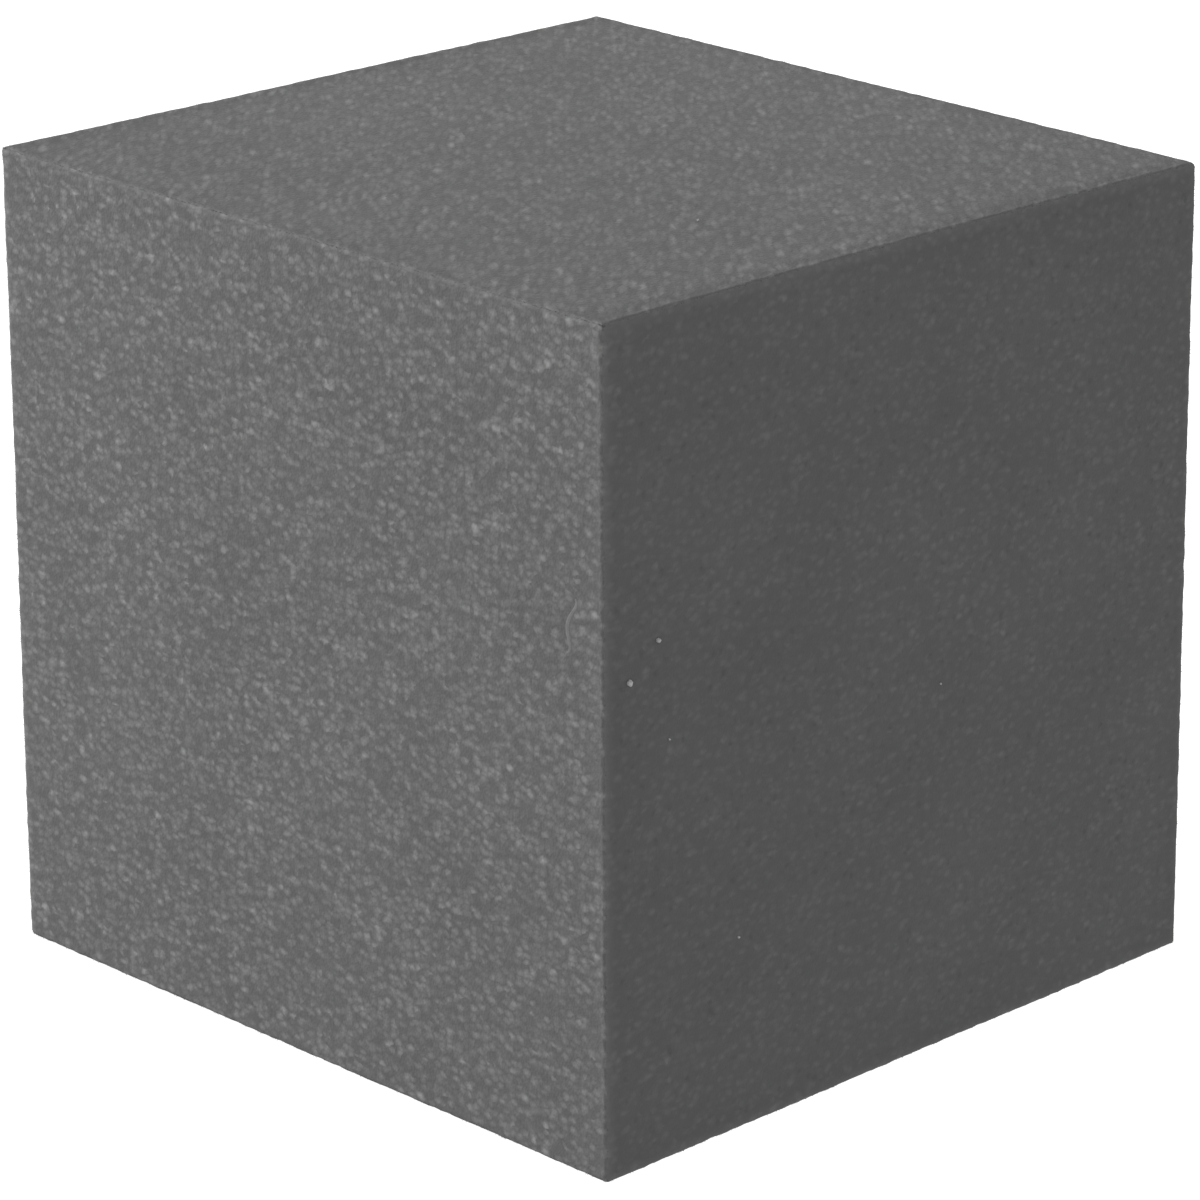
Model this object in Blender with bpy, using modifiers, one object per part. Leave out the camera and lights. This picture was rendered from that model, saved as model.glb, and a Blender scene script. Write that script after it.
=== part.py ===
"""Foam block: one solid cube of open-cell foam, knife-cut on all six sides.

Frame: metres, +Z up, origin at the centre of the base, sides square to X and Y.
"""
import bpy

# Driving dimensions, metres. The three sides are cut separately, so each is set by itself.
BLOCK_WIDTH = 0.305             # along X
BLOCK_DEPTH = 0.305             # along Y
BLOCK_HEIGHT = 0.305            # along Z

# A blade leaves the edges almost sharp: about one open cell crumbles away from each.
EDGE_RADIUS = 0.0010
EDGE_SEGMENTS = 3

COLLECTION_NAME = "foam_block_assembly"

# Surface of the foam
FOAM_COLOUR = (0.067, 0.067, 0.067, 1.0)
FOAM_ROUGHNESS = 0.92
FOAM_METALLIC = 0.0


def clear_scene():
    """Remove what the file holds already."""
    for old_object in list(bpy.data.objects):
        bpy.data.objects.remove(old_object, do_unlink=True)


def make_collection():
    """The collection that holds the finished part."""
    collection = bpy.data.collections.new(COLLECTION_NAME)
    bpy.context.scene.collection.children.link(collection)
    return collection


def foam_material():
    """Matt charcoal foam."""
    material = bpy.data.materials.new("charcoal_foam")
    material.use_nodes = True
    material.diffuse_color = FOAM_COLOUR
    shader = material.node_tree.nodes["Principled BSDF"]
    shader.inputs["Base Color"].default_value = FOAM_COLOUR
    shader.inputs["Roughness"].default_value = FOAM_ROUGHNESS
    shader.inputs["Metallic"].default_value = FOAM_METALLIC
    return material


def move_to_collection(part, collection):
    """Keep the part in one collection only."""
    for holder in list(part.users_collection):
        holder.objects.unlink(part)
    collection.objects.link(part)


def make_foam_block(collection):
    """The block stands on z = 0, with every edge slightly eased."""
    bpy.ops.mesh.primitive_cube_add(size=1.0, location=(0.0, 0.0, BLOCK_HEIGHT / 2))
    block = bpy.context.object
    block.name = "foam_block"
    block.data.name = "foam_block"
    block.scale = (BLOCK_WIDTH, BLOCK_DEPTH, BLOCK_HEIGHT)
    bpy.ops.object.transform_apply(location=False, rotation=False, scale=True)

    easing = block.modifiers.new("eased_edges", "BEVEL")
    easing.width = EDGE_RADIUS
    easing.segments = EDGE_SEGMENTS
    easing.limit_method = "ANGLE"

    block.data.materials.append(foam_material())
    move_to_collection(block, collection)
    return block


def main():
    clear_scene()
    collection = make_collection()
    make_foam_block(collection)


main()
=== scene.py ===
"""The looks of the foam block: a solid cube of charcoal open-cell foam, knife-cut on all six sides.

Metres, +Z up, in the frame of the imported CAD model, whose node foam_block gives the size and the place.
"""
import math

import bmesh
import bpy
import numpy as np
from mathutils import Matrix, Vector, noise


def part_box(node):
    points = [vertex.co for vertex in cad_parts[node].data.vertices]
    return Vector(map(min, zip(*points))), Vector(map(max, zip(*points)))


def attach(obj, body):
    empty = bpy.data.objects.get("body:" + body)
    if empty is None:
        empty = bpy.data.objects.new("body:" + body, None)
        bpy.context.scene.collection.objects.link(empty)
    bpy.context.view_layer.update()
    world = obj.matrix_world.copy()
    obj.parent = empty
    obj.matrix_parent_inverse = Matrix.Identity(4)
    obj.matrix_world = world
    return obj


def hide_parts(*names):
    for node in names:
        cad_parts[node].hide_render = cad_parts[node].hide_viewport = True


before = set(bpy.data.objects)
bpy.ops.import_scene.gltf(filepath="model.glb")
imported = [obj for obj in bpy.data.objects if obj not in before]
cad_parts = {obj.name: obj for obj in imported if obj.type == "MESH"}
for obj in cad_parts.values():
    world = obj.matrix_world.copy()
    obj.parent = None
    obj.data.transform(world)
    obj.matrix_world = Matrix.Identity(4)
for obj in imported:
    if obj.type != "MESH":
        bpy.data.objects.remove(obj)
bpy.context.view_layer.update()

# The block, from the frame
LOW, HIGH = (np.array(corner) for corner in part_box("foam_block"))
HALF = (HIGH - LOW) / 2
CENTRE = (HIGH + LOW) / 2
HEIGHT = HIGH[2] - LOW[2]

# The grid that carries the cut surface
GRID = 190                      # squares along each side of a face
RIM_ROWS = 5                    # rows of small squares along each edge
RIM_WIDTH = 0.0025
RIM_LEAST = 0.3                 # share of the grain's relief and facets that is left at the very edge
UV_MARGIN = 0.004               # round each face in the texture map, as a share of its square

# Cut edges: almost sharp, and crumbled a little where a cell was torn away
EDGE_RADIUS = 0.0020
EDGE_CRUMBLE = 0.35             # how far the radius varies, as a share of it
EDGE_CRUMBLE_SPACING = 0.004
EDGE_SHEEN_WIDTH = 0.0025        # how far the painted sheen of light along an edge reaches in
EDGE_SHEEN_STRENGTH = (0.12, 1.1, 1.0)    # how strong the painted edge sheen, and the edge's dullness, is on edges that run along X, Y and Z

# A soft block is never cut quite square. Each pair is for X and Y.
LEAN = np.array([-0.0108, -0.0096])         # how far the top is shifted, as a share of the height
SPREAD = np.array([0.0026, -0.0004])        # how much wider the base is, as a share
TAPER = np.array([-0.0059, -0.0028])        # how much wider still the top is, as a share
TOP_SLOPE = np.array([-0.0022, -0.0040])    # rise of the top face for each metre sideways
TOP_BOW = 0.0007                            # its rise in the middle of its +X edge, in metres

# Relief of the cut faces: (height, spacing of the bumps)
BLADE_WAVES = (0.00025, 0.070)  # drift of the blade
CELL_CLUSTERS = (0.00002, 0.010)
GRAIN_HEIGHT = 0.00001          # torn cells, from one grid point to the next
GRAIN_JITTER = 0.30             # sideways, as a share of a grid square
RANDOM_LIMIT = 2.5              # where random heights and leans end, in standard deviations

# Speckle of the torn cells, partly their own grain and partly painted glints, by the axis that a face
# looks along: it is faint on the X faces, as painted shade of the +X face
GRAIN_AND_GLINT_DEPTH = np.array([0.06, 0.19, 0.155])
GRAIN_ASIDE = 0.7               # how often it repeats sideways, over upwards, on an upright face
GRAIN_DIAGONAL = 0.3            # and along one diagonal, over the other, on a level face

# Facets of the torn cells: how far their normals lean out of the cut face
COMBED = 0.05                   # to -X, as the blade swept them: a few of them a long way
TOSSED = 0.05                   # any way
LEVEL_PASSES = 2                # the level faces' cells are drawn out along a diagonal
LEVEL_GAIN = 1.1
FLAKE_SHARE = 0.02              # of the facets are flakes that stand up and catch the light
FLAKE_RISE = 0.5                # how far they lean up
FLAKE_TOSSED = 0.11             # and any way

# Struts of torn cells that stand proud of the surface
FACE_STRUTS = 12                # on each face
EDGE_STRUTS = 260               # along each edge
STRUT_LENGTH = (0.0003, 0.0009)
STRUT_RADIUS = 0.00010
STRUT_SINK = 0.0002
STRUT_LEAN = 0.6                # how far they lean any way out of upright
STRUT_SIDES = 3

# Pale crumbs that cling to the faces: (place, -1 to 1 across the block, and radius)
CRUMBS = [
    ((1, -0.891, 0.168), 0.00110),
    ((1, -0.804, 0.241), 0.00090),
    ((1, -0.770, 0.010), 0.00042),
    ((1, -0.555, -0.505), 0.00048),
    ((1, 0.100, -0.085), 0.00040),
    ((-1, 0.350, 0.400), 0.00100),
    ((-1, -0.520, -0.700), 0.00050),
    ((-0.400, 1, -0.300), 0.00090),
    ((0.520, 1, 0.620), 0.00045),
    ((0.550, -0.250, 1), 0.00040),
]
CRUMB_SUBDIVISIONS = 3
CRUMB_ROUGHNESS = 0.35          # how lumpy, as a share of the radius
CRUMB_LUMPS = 0.9               # spacing of the lumps, in radii
CRUMB_RISE = 0.4                # of the middle above the surface, in radii

# A wisp of torn foam that lies on the -Y face, from its upper end to its lower one: places as above
WISP = [
    (0.878, -1, 0.350),
    (0.872, -1, 0.320),
    (0.855, -1, 0.285),
    (0.860, -1, 0.250),
    (0.848, -1, 0.220),
]
WISP_RADIUS = 0.0011
WISP_FLATNESS = 0.12            # its thickness over its width
WISP_END = 0.04                 # where its ends are cut off, as a share of a half turn of a sine
WISP_POINTS = 25
WISP_SIDES = 6

SEED = 12
SEED_SHIFT = 17.3               # how far apart the noise of two seeds is taken
ACROSS = np.array([[1, 2], [0, 2], [0, 1]])     # the two axes in a face, by the axis it looks along

# Materials, linear
FOAM_DARK = 0.0640
FOAM_LIGHT = 0.0695
# Painted sheen of light, added to the colour along the cut edges
EDGE_PAINTED_SHEEN = 0.026
FOAM_ROUGHNESS = 0.5
EDGE_ROUGHNESS = 0.85
DULL_FROM = 0.15                # edge sheen strength from which the foam has the roughness of an edge
FOAM_GLOSS = 0.05
MOTTLES_PER_METRE = 14.0
MOTTLE_DETAIL = 3.0
MOTTLE_RANGE = (0.3, 0.7)       # of the noise, from the darkest foam to the lightest
CELLS_PER_METRE = 900.0
CELL_BUMP = 0.25
CELL_DEPTH = 0.0004
TORN_GRAINS_PER_METRE = 300.0
TORN_UNEVEN = 0.3               # how far the grey of the torn bits varies, as a share of it
# Torn ends of cells, partly painted glints of the lit faces: dots per metre, radius over spacing, how few
# are bright, mean, strength
GRAIN_AND_GLINT_DOTS = [
    (450.0, 0.75, 1.0, 0.144, 4.4),
    (280.0, 0.50, 3.0, 0.030, 5.0),
]
STRUT_GREY = 0.055
CRUMB_GREY = 0.27
WISP_GREY = 0.084

# Studio
CAMERA_TARGET = Vector((-0.0059, -0.0058, 0.4441)) * HEIGHT
CAMERA_AZIMUTH = math.radians(44.51)
CAMERA_ELEVATION = math.radians(19.38)
CAMERA_DISTANCE = 6.873 * HEIGHT
CAMERA_ROLL = math.radians(0.62)
CAMERA_LENS = 170.46
CAMERA_CLIP_END = 100.0
SENSOR_WIDTH = 36.0
FLOOR_SIZE = 40.0
FLOOR_COLOUR = (0.3, 0.3, 0.3, 1.0)
FLOOR_ROUGHNESS = 0.9
FLOOR_GLOW = 0.98
ROOM_BRIGHTNESS = 1.0
SOFTBOX_DIRECTION = Vector((-0.80, -0.43, 0.355))
SOFTBOX_DISTANCE = 3.6
SOFTBOX_SIZE = 1.44
SOFTBOX_POWER = 318.0
WHITE = (1.0, 1.0, 1.0, 1.0)


# ---------------------------------------------------------------- helpers

def noise_field(points, spacing, seed):
    """Smooth noise, about -1 to 1, whose bumps lie about this far apart."""
    shifted = points / spacing + SEED_SHIFT * seed
    return np.array([noise.noise(Vector(point)) for point in shifted])


def looks_along(unit):
    """The axis that the face looks along, for each place -1 to 1 on the sharp box."""
    return np.abs(unit).argmax(axis=1)


def on_positive_side(unit, axis):
    """Whether each place -1 to 1 on the sharp box is on the positive one of the two faces on its axis."""
    return np.take_along_axis(unit, axis[:, None], axis=1)[:, 0] > 0


def new_object(name, mesh, material):
    """A piece made of this mesh, in the scene."""
    piece = bpy.data.objects.new(name, mesh)
    bpy.context.scene.collection.objects.link(piece)
    mesh.materials.append(material)
    return piece


def add_node(tree, kind, inputs=None, **settings):
    """A new shader node. An input given as a socket is linked, and any other value is set."""
    made = tree.nodes.new(kind)
    for name, value in settings.items():
        setattr(made, name, value)
    for name, value in (inputs or {}).items():
        if isinstance(value, bpy.types.NodeSocket):
            tree.links.new(value, made.inputs[name])
        else:
            made.inputs[name].default_value = value
    return made


def new_material(name):
    """A material with nodes, with its tree and its Principled shader."""
    material = bpy.data.materials.new(name)
    material.use_nodes = True
    tree = material.node_tree
    return material, tree, tree.nodes["Principled BSDF"]


# ---------------------------------------------------------------- shape

def graded(unit):
    """Places -1 to 1 across the block as metres from its centre, with narrow rows along the edges."""
    rim = 1 - 2 * RIM_ROWS / GRID
    columns = [
        np.interp(unit[:, i], [-1, -rim, rim, 1], [-half, RIM_WIDTH - half, half - RIM_WIDTH, half])
        for i, half in enumerate(HALF)
    ]
    return np.stack(columns, axis=1)


def eased(points):
    """Points on the sharp box moved onto its worn edges, with the normals there."""
    edge_factor = 1 + EDGE_CRUMBLE * noise_field(points, EDGE_CRUMBLE_SPACING, seed=1)
    radius = (EDGE_RADIUS * edge_factor)[:, None]
    inner = np.clip(points, radius - HALF, HALF - radius)
    outward = points - inner
    normals = outward / np.linalg.norm(outward, axis=1, keepdims=True)
    return inner + radius * normals, normals


def warped(points):
    """Points about the block's centre in their real places: a little out of square, on the floor."""
    x, y, z = points.T
    up = (z + HALF[2]) / HEIGHT
    bow = TOP_BOW * (1 - (y / HALF[1]) ** 2) * (1 + x / HALF[0]) / 2
    slope = TOP_SLOPE[0] * x + TOP_SLOPE[1] * y
    moved = np.stack(
        [
            x * (1 + SPREAD[0] + TAPER[0] * up) + LEAN[0] * up * HEIGHT,
            y * (1 + SPREAD[1] + TAPER[1] * up) + LEAN[1] * up * HEIGHT,
            z + up * (bow + slope),
        ],
        axis=1,
    )
    moved += CENTRE
    moved[:, 2] = np.maximum(moved[:, 2], LOW[2])
    return moved


def neighbourhood(field):
    """The mean of a field of grid values over five by five neighbours."""
    for axis in (2, 3):
        field = sum(np.roll(field, step, axis=axis) for step in range(-2, 3)) / 5
    return field


def facet_leans(unit):
    """How each torn facet leans, a vector for each grid point. Close neighbours lean a little alike."""
    random = np.random.default_rng(SEED + 2)
    draws = random.normal(size=(3, 2, GRID + 1, GRID + 1, 3))
    leans = np.clip(draws, -RANDOM_LIMIT, RANDOM_LIMIT) * TOSSED
    leans[..., 0] = (1 - draws[..., 0] ** 2) * COMBED
    leans -= neighbourhood(leans)
    leans[:2] = (leans[:2] + np.roll(leans[:2], 1, axis=2)) / 2
    for _ in range(LEVEL_PASSES):
        level = leans[2]
        diagonal = np.roll(level, (1, -1), axis=(1, 2)) + np.roll(level, (-1, 1), axis=(1, 2))
        leans[2] = (2 * level + diagonal) / 4
    leans[2] *= LEVEL_GAIN

    flakes = random.uniform(size=leans.shape[:-1]) < FLAKE_SHARE
    tossed = random.uniform(-FLAKE_TOSSED, FLAKE_TOSSED, (flakes.sum(), 3))
    leans[flakes] = tossed + (0, 0, FLAKE_RISE)

    place = np.rint((unit + 1) / 2 * GRID).astype(int)
    axis = looks_along(unit)
    side = on_positive_side(unit, axis).astype(int)
    across = np.take_along_axis(place, ACROSS[axis], axis=1)
    return leans[axis, side, across[:, 0], across[:, 1]]


def along(vectors, normals):
    """The part of each vector that lies along the surface."""
    return vectors - normals * (vectors * normals).sum(axis=1, keepdims=True)


def edge_distance(points):
    """How far each point on the sharp box is from its nearest edge."""
    return np.sort(HALF - np.abs(points), axis=1)[:, 1]


def add_attribute(mesh, name, values):
    """Store a number or a vector for each point of the mesh."""
    kind, key = ("FLOAT_VECTOR", "vector") if values.ndim > 1 else ("FLOAT", "value")
    layer = mesh.attributes.new(name, kind, "POINT")
    layer.data.foreach_set(key, values.astype(np.float32).ravel())


def grain_places(points, axis):
    """Where each point lies in the grain, which is drawn out one way: sideways on the upright faces."""
    x, y, z = points.T
    upright = np.stack([x * GRAIN_ASIDE, y * GRAIN_ASIDE, z], axis=1)
    level = np.stack([(x + y) / math.sqrt(2), (y - x) / math.sqrt(2) * GRAIN_DIAGONAL, z], axis=1)
    return np.where(axis[:, None] == 2, level, upright)


def edge_sheen_and_dullness(points):
    """How strong the painted sheen of light along the edges is at each point, by the edges that it is
    near; it also sets how dull they are.
    """
    inwards = HALF - np.abs(points)
    edge_factor = np.zeros(len(points))
    for direction, share in enumerate(EDGE_SHEEN_STRENGTH):
        from_edge = np.delete(inwards, direction, axis=1).max(axis=1)
        edge_factor = np.maximum(edge_factor, share * np.exp(-from_edge / EDGE_SHEEN_WIDTH))
    return edge_factor


def cut_surface(unit):
    """Places and normals of the smooth cut surface, about the block's centre."""
    points = graded(unit)
    places, normals = eased(points)
    for seed, (height, spacing) in enumerate((BLADE_WAVES, CELL_CLUSTERS), start=2):
        places += normals * (height * noise_field(points, spacing, seed))[:, None]
    return places, normals, edge_distance(points)


def atlas(mesh, unit):
    """The piece's texture map: its six faces side by side, three across and two up."""
    loops = np.zeros(len(mesh.loops), dtype=np.int32)
    mesh.loops.foreach_get("vertex_index", loops)
    corners = unit[loops].reshape(-1, 3, 3)
    middle = corners.mean(axis=1)
    axis = looks_along(middle)
    side = on_positive_side(middle, axis)
    flat = np.take_along_axis(corners, ACROSS[axis][:, None, :], axis=2)
    share = UV_MARGIN + (1 - 2 * UV_MARGIN) * (flat + 1) / 2
    tile = np.stack([axis, side], axis=1)[:, None, :]
    places = (tile + share) / np.array([3, 2])
    layer = mesh.uv_layers.new(name="OFBake")
    layer.uv.foreach_set("vector", places.astype(np.float32).ravel())


def make_block(material):
    """The foam itself: one closed mesh. The torn cells are a little relief, and facets in its normals."""
    grid = bmesh.new()
    bmesh.ops.create_cube(grid, size=2.0)
    bmesh.ops.subdivide_edges(grid, edges=grid.edges[:], cuts=GRID - 1, use_grid_fill=True)
    unit = np.array([point.co[:] for point in grid.verts])

    places, normals, from_edge = cut_surface(unit)
    random = np.random.default_rng(SEED)
    count = len(unit)
    square = 2 * HALF.min() / GRID
    inside = np.clip(from_edge / (2 * RIM_WIDTH), RIM_LEAST, 1.0)[:, None]
    sideways = along(random.uniform(-1, 1, (count, 3)) * square * GRAIN_JITTER, normals)
    torn = np.clip(random.normal(size=(count, 1)), -RANDOM_LIMIT, RANDOM_LIMIT) * GRAIN_HEIGHT
    places += inside * (sideways + torn * normals)
    for point, place in zip(grid.verts, warped(places)):
        point.co = place
    bmesh.ops.triangulate(grid, faces=grid.faces[:], quad_method="SHORT_EDGE")
    mesh = bpy.data.meshes.new("foam_body")
    grid.to_mesh(mesh)
    grid.free()

    mesh.shade_smooth()
    atlas(mesh, unit)
    axis = looks_along(unit)
    sharp_box = graded(unit)
    # Strength of the painted sheen of light along the edges, which also makes them duller
    add_attribute(mesh, "edge_sheen_and_dullness", edge_sheen_and_dullness(sharp_box))
    add_attribute(mesh, "grain_place", grain_places(sharp_box, axis))
    # Strength of the speckle, whose bright dots are partly painted glints; faint on the X faces as
    # painted shade
    add_attribute(mesh, "grain_and_glint_depth", GRAIN_AND_GLINT_DEPTH[axis])
    facing = np.zeros(3 * count)
    mesh.vertex_normals.foreach_get("vector", facing)
    facing = facing.reshape(-1, 3)
    inside = np.clip(from_edge / RIM_WIDTH, RIM_LEAST, 1.0)[:, None]
    facing += along(facet_leans(unit), facing) * inside
    facing /= np.linalg.norm(facing, axis=1, keepdims=True)
    mesh.normals_split_custom_set_from_vertices(facing)
    mesh.update()
    return new_object("foam_body", mesh, material)


# ---------------------------------------------------------------- torn struts

def scattered(random):
    """Places -1 to 1 on the sharp box for the struts: all over the faces, and along the edges."""
    found = []
    for axis in range(3):
        for side in (-1, 1):
            on_face = random.uniform(-1, 1, (FACE_STRUTS, 3))
            on_face[:, axis] = side
            found.append(on_face)
            for other in range(axis + 1, 3):
                for other_side in (-1, 1):
                    on_edge = random.uniform(-1, 1, (EDGE_STRUTS, 3))
                    on_edge[:, axis] = side
                    on_edge[:, other] = other_side
                    found.append(on_edge)
    return np.concatenate(found)


def make_struts(material):
    """Stubs of cell walls that the blade left standing: tiny closed spikes, one mesh."""
    random = np.random.default_rng(SEED + 1)
    roots, normals, _ = cut_surface(scattered(random))
    count = len(roots)
    lean = random.normal(size=(count, 3))
    direction = normals + STRUT_LEAN * lean
    direction /= np.linalg.norm(direction, axis=1, keepdims=True)
    length = random.uniform(*STRUT_LENGTH, (count, 1))
    aside = np.cross(direction, lean)
    aside /= np.linalg.norm(aside, axis=1, keepdims=True)
    across = np.cross(direction, aside)

    corners = [roots + direction * length]
    for side in range(STRUT_SIDES):
        angle = side * math.tau / STRUT_SIDES
        around = math.cos(angle) * aside + math.sin(angle) * across
        corners.append(roots - normals * STRUT_SINK + around * STRUT_RADIUS)
    points = warped(np.stack(corners, axis=1).reshape(-1, 3))
    spike = np.array([[0, 1, 2], [0, 2, 3], [0, 3, 1], [1, 3, 2]])
    faces = (spike[None] + len(corners) * np.arange(count)[:, None, None]).reshape(-1, 3)

    mesh = bpy.data.meshes.new("torn_struts")
    mesh.from_pydata(points.tolist(), [], faces.tolist())
    mesh.update()
    strut_map(mesh, count)
    return new_object("torn_struts", mesh, material)


def strut_map(mesh, count):
    """The struts' texture map: each has its own small square."""
    columns = math.ceil(math.sqrt(count))
    index = np.arange(count)
    corner = np.stack([index % columns, index // columns], axis=1)
    triangle = np.array([[0.15, 0.15], [0.85, 0.15], [0.5, 0.85]])
    places = (corner[:, None, None, :] + triangle[None, None]) / columns
    places = np.broadcast_to(places, (count, 4, 3, 2))
    layer = mesh.uv_layers.new(name="OFBake")
    layer.uv.foreach_set("vector", places.astype(np.float32).ravel())


# ---------------------------------------------------------------- crumbs and wisp

def joined(name, shapes, material, smooth=True):
    """One piece made of several closed shapes, each given as its points and faces."""
    points = []
    faces = []
    for shape_points, shape_faces in shapes:
        first = len(points)
        faces += [[first + corner for corner in face] for face in shape_faces]
        points += [tuple(point) for point in shape_points]
    mesh = bpy.data.meshes.new(name)
    mesh.from_pydata(points, [], faces)
    mesh.update()
    if smooth:
        mesh.shade_smooth()
    return new_object(name, mesh, material)


def make_crumbs(material):
    """Lumpy specks, partly sunk in the surface."""
    ball = bmesh.new()
    bmesh.ops.create_icosphere(ball, subdivisions=CRUMB_SUBDIVISIONS, radius=1.0)
    round_points = np.array([point.co[:] for point in ball.verts])
    faces = [[point.index for point in face.verts] for face in ball.faces]
    ball.free()

    places, normals, _ = cut_surface(np.array([place for place, _ in CRUMBS], dtype=float))
    shapes = []
    for number, (place, normal, (_, radius)) in enumerate(zip(places, normals, CRUMBS)):
        lumps = 1 + CRUMB_ROUGHNESS * noise_field(round_points, CRUMB_LUMPS, seed=10 + number)
        points = place + CRUMB_RISE * radius * normal + radius * lumps[:, None] * round_points
        shapes.append((warped(points), faces))
    return joined("pale_crumbs", shapes, material)


def make_wisp(material):
    """A thin curved thread, thickest in the middle, that lies on the face."""
    share = np.linspace(0, 1, WISP_POINTS)
    knots = np.linspace(0, 1, len(WISP))
    curves = [np.polyfit(knots, row, len(WISP) - 1) for row in np.array(WISP, dtype=float).T]
    line = np.stack([np.polyval(curve, share) for curve in curves], axis=1)
    centre, normals, _ = cut_surface(line)
    thickness = WISP_RADIUS * np.sqrt(np.sin(math.pi * (WISP_END + (1 - 2 * WISP_END) * share)))
    points = []
    for place, normal, radius in zip(centre, normals, thickness):
        aside = np.cross(normal, (0.0, 0.0, 1.0))
        for side in range(WISP_SIDES):
            angle = math.tau * side / WISP_SIDES
            outward = math.cos(angle) * aside + WISP_FLATNESS * math.sin(angle) * normal
            points.append(place + radius * outward)
    faces = []
    for ring in range(WISP_POINTS - 1):
        for side in range(WISP_SIDES):
            after = (side + 1) % WISP_SIDES
            near = ring * WISP_SIDES
            far = near + WISP_SIDES
            faces.append([near + after, near + side, far + side, far + after])
    faces.append(list(range(WISP_SIDES)))
    faces.append(list(range(len(points) - WISP_SIDES, len(points)))[::-1])
    return joined("torn_wisp", [(warped(np.array(points)), faces)], material, smooth=False)


# ---------------------------------------------------------------- materials

def grain_and_glint_dots(tree, place, per_metre, radius, rarity):
    """Round dots, each with its own brightness, 0 to 1 in its middle: partly torn cells, partly painted
    glints.
    """
    nearest = add_node(tree, "ShaderNodeTexVoronoi", {"Vector": place, "Scale": per_metre})
    inside = add_node(
        tree,
        "ShaderNodeMapRange",
        {"Value": nearest.outputs["Distance"], "From Max": radius, "To Min": 1.0, "To Max": 0.0},
    )
    chance = add_node(tree, "ShaderNodeSeparateColor", {"Color": nearest.outputs["Color"]})
    rare = add_node(tree, "ShaderNodeMath", {0: chance.outputs["Red"], 1: rarity}, operation="POWER")
    dots = add_node(
        tree, "ShaderNodeMath", {0: inside.outputs[0], 1: rare.outputs[0]}, operation="MULTIPLY"
    )
    return dots.outputs[0]


def grain_speckle_and_glints(tree):
    """How bright each torn cell is, 1 on average: bright ends on a darker ground, partly painted glints,
    kept faint on the X faces as painted shade.
    """
    place = add_node(tree, "ShaderNodeAttribute", attribute_name="grain_place").outputs["Vector"]
    depth = add_node(tree, "ShaderNodeAttribute", attribute_name="grain_and_glint_depth").outputs["Fac"]
    # The bright dots are partly painted glints of the lit faces
    total = -sum(mean * strength for _, _, _, mean, strength in GRAIN_AND_GLINT_DOTS)
    for per_metre, radius, rarity, _, strength in GRAIN_AND_GLINT_DOTS:
        dots = grain_and_glint_dots(tree, place, per_metre, radius, rarity)
        added = add_node(
            tree, "ShaderNodeMath", {0: dots, 1: strength, 2: total}, operation="MULTIPLY_ADD"
        )
        total = added.outputs[0]
    speckle = add_node(
        tree, "ShaderNodeMath", {0: total, 1: depth, 2: 1.0}, operation="MULTIPLY_ADD"
    )
    return speckle.outputs[0]


def foam_material():
    """Matt charcoal foam: a faint mottle, the speckle of its torn cells with painted glints, and a
    painted sheen of light along the cut edges.
    """
    material, tree, shader = new_material("charcoal_foam")
    place = add_node(tree, "ShaderNodeTexCoord").outputs["Object"]
    cells = add_node(tree, "ShaderNodeTexVoronoi", {"Vector": place, "Scale": CELLS_PER_METRE})
    mottle = add_node(
        tree,
        "ShaderNodeTexNoise",
        {"Vector": place, "Scale": MOTTLES_PER_METRE, "Detail": MOTTLE_DETAIL},
    )
    tone = add_node(
        tree,
        "ShaderNodeMapRange",
        {
            "Value": mottle.outputs["Fac"],
            "From Min": MOTTLE_RANGE[0],
            "From Max": MOTTLE_RANGE[1],
            "To Min": FOAM_DARK,
            "To Max": FOAM_LIGHT,
        },
    )
    # The foam's tone times the speckle: partly the torn cells' own grain, partly painted glints
    speckled_with_glints = add_node(
        tree, "ShaderNodeMath", {0: tone.outputs[0], 1: grain_speckle_and_glints(tree)}, operation="MULTIPLY"
    )
    # Painted sheen of light along the cut edges: a paler colour there, and a duller roughness
    edge_sheen_and_dull = add_node(tree, "ShaderNodeAttribute", attribute_name="edge_sheen_and_dullness")
    with_edge_sheen = add_node(
        tree,
        "ShaderNodeMath",
        {0: edge_sheen_and_dull.outputs["Fac"], 1: EDGE_PAINTED_SHEEN, 2: speckled_with_glints.outputs[0]},
        operation="MULTIPLY_ADD",
    )
    colour = add_node(
        tree,
        "ShaderNodeCombineColor",
        {"Red": with_edge_sheen.outputs[0], "Green": with_edge_sheen.outputs[0], "Blue": with_edge_sheen.outputs[0]},
    )
    tree.links.new(colour.outputs[0], shader.inputs["Base Color"])
    bump = add_node(
        tree,
        "ShaderNodeBump",
        {"Height": cells.outputs["Distance"], "Strength": CELL_BUMP, "Distance": CELL_DEPTH},
    )
    tree.links.new(bump.outputs[0], shader.inputs["Normal"])
    dull = add_node(
        tree,
        "ShaderNodeMapRange",
        {
            "Value": edge_sheen_and_dull.outputs["Fac"],
            "From Max": DULL_FROM,
            "To Min": FOAM_ROUGHNESS,
            "To Max": EDGE_ROUGHNESS,
        },
    )
    tree.links.new(dull.outputs[0], shader.inputs["Roughness"])
    shader.inputs["Specular IOR Level"].default_value = FOAM_GLOSS
    return material


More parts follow.
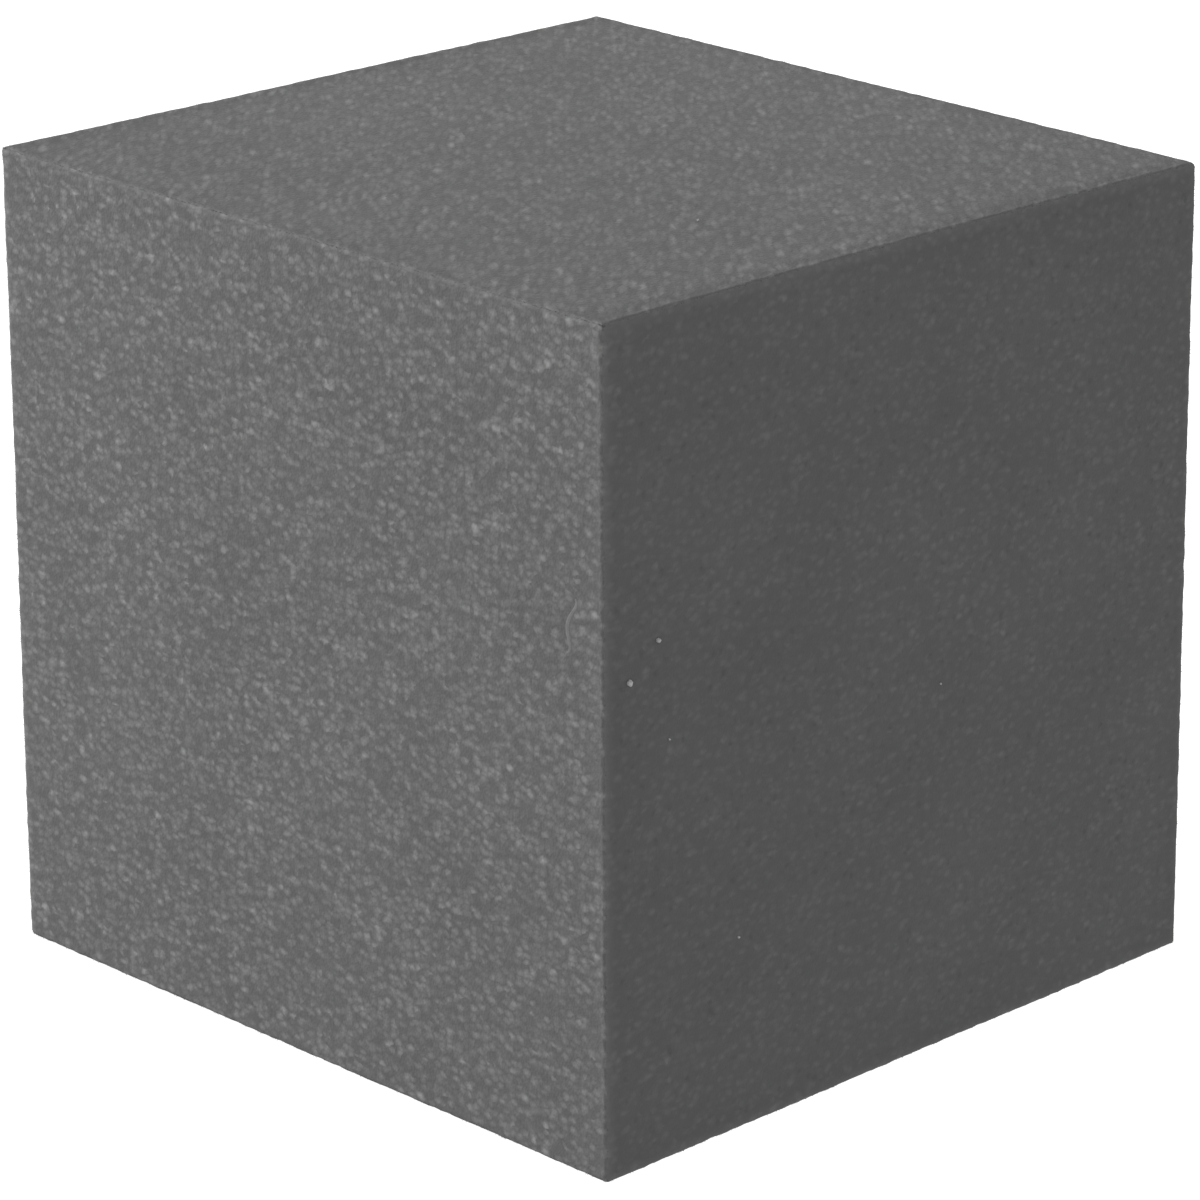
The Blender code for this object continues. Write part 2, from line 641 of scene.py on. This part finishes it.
def torn_material(name, grey):
    """Torn bits of the same foam, a little uneven, and as pale as the light that gets through them."""
    material, tree, shader = new_material(name)
    place = add_node(tree, "ShaderNodeTexCoord").outputs["Object"]
    grain = add_node(tree, "ShaderNodeTexNoise", {"Vector": place, "Scale": TORN_GRAINS_PER_METRE})
    tone = add_node(
        tree,
        "ShaderNodeMapRange",
        {
            "Value": grain.outputs["Fac"],
            "To Min": grey * (1 - TORN_UNEVEN),
            "To Max": grey * (1 + TORN_UNEVEN),
        },
    )
    colour = add_node(
        tree,
        "ShaderNodeCombineColor",
        {"Red": tone.outputs[0], "Green": tone.outputs[0], "Blue": tone.outputs[0]},
    )
    tree.links.new(colour.outputs[0], shader.inputs["Base Color"])
    shader.inputs["Roughness"].default_value = EDGE_ROUGHNESS
    shader.inputs["Specular IOR Level"].default_value = FOAM_GLOSS
    return material


# ---------------------------------------------------------------- studio

def make_floor():
    """A plain white table that glows, so that it stays white round the block."""
    material, _, shader = new_material("white_table")
    shader.inputs["Base Color"].default_value = FLOOR_COLOUR
    shader.inputs["Roughness"].default_value = FLOOR_ROUGHNESS
    shader.inputs["Emission Color"].default_value = WHITE
    shader.inputs["Emission Strength"].default_value = FLOOR_GLOW
    bpy.ops.mesh.primitive_plane_add(size=FLOOR_SIZE, location=(0.0, 0.0, LOW[2]))
    floor = bpy.context.object
    floor.name = "white_table"
    floor.data.materials.append(material)


def make_world():
    """Even white light from all round."""
    world = bpy.data.worlds.new("white_room")
    world.use_nodes = True
    background = world.node_tree.nodes["Background"]
    background.inputs["Color"].default_value = WHITE
    background.inputs["Strength"].default_value = ROOM_BRIGHTNESS
    bpy.context.scene.world = world


def make_softbox(lit):
    """A square area light, low on the left, that points at the block and lights only these objects."""
    lamp = bpy.data.lights.new("left_softbox", "AREA")
    lamp.shape = "SQUARE"
    lamp.size = SOFTBOX_SIZE
    lamp.energy = SOFTBOX_POWER
    softbox = bpy.data.objects.new("left_softbox", lamp)
    bpy.context.scene.collection.objects.link(softbox)
    away = SOFTBOX_DIRECTION.normalized()
    softbox.location = Vector(CENTRE) + away * SOFTBOX_DISTANCE
    softbox.rotation_euler = (-away).to_track_quat("-Z", "Y").to_euler()
    softbox.light_linking.receiver_collection = lit


def make_camera():
    """The view that the block is known by: one upright edge towards the viewer, seen from above."""
    lens = bpy.data.cameras.new("camera")
    lens.lens = CAMERA_LENS
    lens.sensor_width = SENSOR_WIDTH
    lens.clip_end = CAMERA_CLIP_END
    camera = bpy.data.objects.new("camera", lens)
    bpy.context.scene.collection.objects.link(camera)
    away = Vector(
        (
            math.sin(CAMERA_AZIMUTH) * math.cos(CAMERA_ELEVATION),
            -math.cos(CAMERA_AZIMUTH) * math.cos(CAMERA_ELEVATION),
            math.sin(CAMERA_ELEVATION),
        )
    )
    turn = (-away).to_track_quat("-Z", "Y").to_matrix().to_4x4() @ Matrix.Rotation(CAMERA_ROLL, 4, "Z")
    camera.matrix_world = Matrix.Translation(CAMERA_TARGET + away * CAMERA_DISTANCE) @ turn
    bpy.context.scene.camera = camera


def main():
    bpy.context.scene.view_settings.view_transform = "Standard"
    block = make_block(foam_material())
    struts = make_struts(torn_material("strut_ends", STRUT_GREY))
    crumbs = make_crumbs(torn_material("pale_crumb", CRUMB_GREY))
    wisp = make_wisp(torn_material("pale_wisp", WISP_GREY))
    pieces = (block, struts, crumbs, wisp)
    for piece in pieces:
        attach(piece, "root")
    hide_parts("foam_block")

    make_floor()
    make_world()
    lit = bpy.data.collections.new("lit_by_softbox")
    for piece in pieces:
        lit.objects.link(piece)
    make_softbox(lit)
    make_camera()


main()
